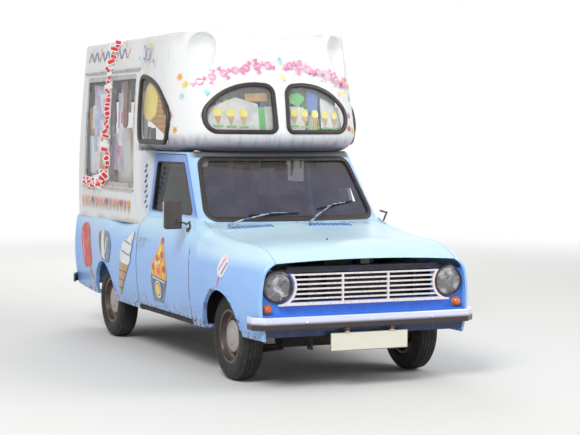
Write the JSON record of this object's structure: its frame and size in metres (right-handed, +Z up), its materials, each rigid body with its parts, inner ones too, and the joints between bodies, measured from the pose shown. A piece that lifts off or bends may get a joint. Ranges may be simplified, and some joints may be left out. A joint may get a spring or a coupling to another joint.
{
  "type": "ice cream truck",
  "caption": "Small forward-engined ice cream van: pressed steel lower body, moulded upper body with serving windows and a windowed pod over the cab.",
  "frame": {"origin": "on the ground under the middle of the vehicle's box", "axes": "+Y towards the tail along the vehicle's length, +Z up, the driver's side is -X"},
  "size_m": [1.788, 3.815, 2.212],
  "materials": {
    "body_paint": "light blue gloss paint, dull with age",
    "nose_paint": "mid blue gloss paint",
    "white_moulding": "white glass-fibre gelcoat with grime",
    "glass": "clear window glass",
    "aluminium_frame": "anodised aluminium",
    "chrome_trim": "dull pitted chrome",
    "amber_lens": "amber ribbed lens",
    "red_lens": "red ribbed lens",
    "plate_blank": "blank pressed plate",
    "underbody_paint": "black underbody paint",
    "engine_iron": "oily cast iron",
    "exhaust_steel": "rusty steel",
    "seat_vinyl": "black vinyl",
    "dash_black": "black moulded plastic",
    "worktop": "pale laminate",
    "appliance_enamel": "white enamel",
    "cone_plastic": "yellow moulded plastic",
    "tyre_rubber": "worn black rubber",
    "wheel_steel": "painted steel rim with a dull chromed cap"
  },
  "bodies": {
    "body": {"floor_pan": "underbody_paint", "cab_frame": "body_paint", "front_wing_right": "body_paint", "front_wing_left": "body_paint", "nose_panel": "nose_paint", "rear_quarter_right": "body_paint", "rear_quarter_left": "body_paint", "rear_panel": "body_paint", "pod": "white_moulding", "side_moulding_right": "white_moulding", "side_moulding_left": "white_moulding", "roof_moulding": "white_moulding", "rear_moulding": "white_moulding", "pod_glass": "glass", "serving_frames": "aluminium_frame", "body_glass": "glass", "windscreen": "glass", "grille": "aluminium_frame", "headlamp_rims": "chrome_trim", "headlamp_lenses": "glass", "front_indicators": "amber_lens", "rear_lamps": "red_lens", "front_bumper": "chrome_trim", "rear_bumpers": "chrome_trim", "front_plate": "plate_blank", "engine_block": "engine_iron", "radiator": "underbody_paint", "exhaust": "exhaust_steel", "fuel_tank": "underbody_paint", "chassis_rails": "underbody_paint", "front_suspension": "underbody_paint", "rear_axle": "underbody_paint", "seats": "seat_vinyl", "dashboard": "dash_black", "service_counters": "worktop", "freezer": "appliance_enamel", "ice_cream_machine": "appliance_enamel", "display_cones": "cone_plastic"},
    "bonnet": {"bonnet": "body_paint"},
    "steering_wheel": {"steering_wheel": "dash_black"},
    "door_right": {"door_right": "body_paint", "door_glass_right": "glass", "door_fittings_right": "chrome_trim"},
    "rear_door_right": {"rear_door_right": "body_paint"},
    "knuckle_right": {"knuckle_right": "underbody_paint"},
    "front_wheel_right": {"tyre_front_right": "tyre_rubber", "wheel_front_right": "wheel_steel"},
    "rear_wheel_right": {"tyre_rear_right": "tyre_rubber", "wheel_rear_right": "wheel_steel"},
    "door_left": {"door_left": "body_paint", "door_glass_left": "glass", "door_fittings_left": "chrome_trim"},
    "rear_door_left": {"rear_door_left": "body_paint", "rear_plate": "plate_blank"},
    "knuckle_left": {"knuckle_left": "underbody_paint"},
    "front_wheel_left": {"tyre_front_left": "tyre_rubber", "wheel_front_left": "wheel_steel"},
    "rear_wheel_left": {"tyre_rear_left": "tyre_rubber", "wheel_rear_left": "wheel_steel"}
  },
  "joints": [
    {"name": "bonnet_hinge", "type": "hinge", "parent": "body", "child": "bonnet", "pos_m": [0, -0.984, 0.94], "axis": [-1, 0, 0], "range_deg": [0, 50]},
    {"name": "door_right_hinge", "type": "hinge", "parent": "body", "child": "door_right", "pos_m": [-0.752, -0.79, 0.6], "axis": [0, 0, 1], "range_deg": [0, 65]},
    {"name": "rear_door_right_hinge", "type": "hinge", "parent": "body", "child": "rear_door_right", "pos_m": [-0.56, 1.856, 0.61], "axis": [0, 0, 1], "range_deg": [0, 100]},
    {"name": "door_left_hinge", "type": "hinge", "parent": "body", "child": "door_left", "pos_m": [0.752, -0.79, 0.6], "axis": [0, 0, -1], "range_deg": [0, 65]},
    {"name": "rear_door_left_hinge", "type": "hinge", "parent": "body", "child": "rear_door_left", "pos_m": [0.56, 1.856, 0.61], "axis": [0, 0, -1], "range_deg": [0, 100]},
    {"name": "knuckle_left_steer", "type": "hinge", "parent": "body", "child": "knuckle_left", "pos_m": [0.488, -1.2825, 0.272], "axis": [0, 0, 1], "range_deg": [-32, 32]},
    {"name": "front_wheel_left_spin", "type": "hinge", "parent": "knuckle_left", "child": "front_wheel_left", "pos_m": [0.602, -1.2825, 0.272], "axis": [1, 0, 0], "continuous": true},
    {"name": "rear_wheel_left_spin", "type": "hinge", "parent": "body", "child": "rear_wheel_left", "pos_m": [0.612, 1.0415, 0.272], "axis": [1, 0, 0], "continuous": true},
    {"name": "knuckle_right_steer", "type": "hinge", "parent": "body", "child": "knuckle_right", "pos_m": [-0.488, -1.2825, 0.272], "axis": [0, 0, 1], "range_deg": [-32, 32]},
    {"name": "front_wheel_right_spin", "type": "hinge", "parent": "knuckle_right", "child": "front_wheel_right", "pos_m": [-0.602, -1.2825, 0.272], "axis": [1, 0, 0], "continuous": true},
    {"name": "rear_wheel_right_spin", "type": "hinge", "parent": "body", "child": "rear_wheel_right", "pos_m": [-0.612, 1.0415, 0.272], "axis": [1, 0, 0], "continuous": true},
    {"name": "steering_wheel_turn", "type": "hinge", "parent": "body", "child": "steering_wheel", "pos_m": [-0.33, -0.395, 0.905], "axis": [0, 0.88, 0.475], "range_deg": [-384.5, 384.5]}
  ],
  "couplings": [
    {"joint": "knuckle_right_steer", "follows": "knuckle_left_steer", "ratio": 1},
    {"joint": "steering_wheel_turn", "follows": "knuckle_left_steer", "ratio": 12}
  ]
}
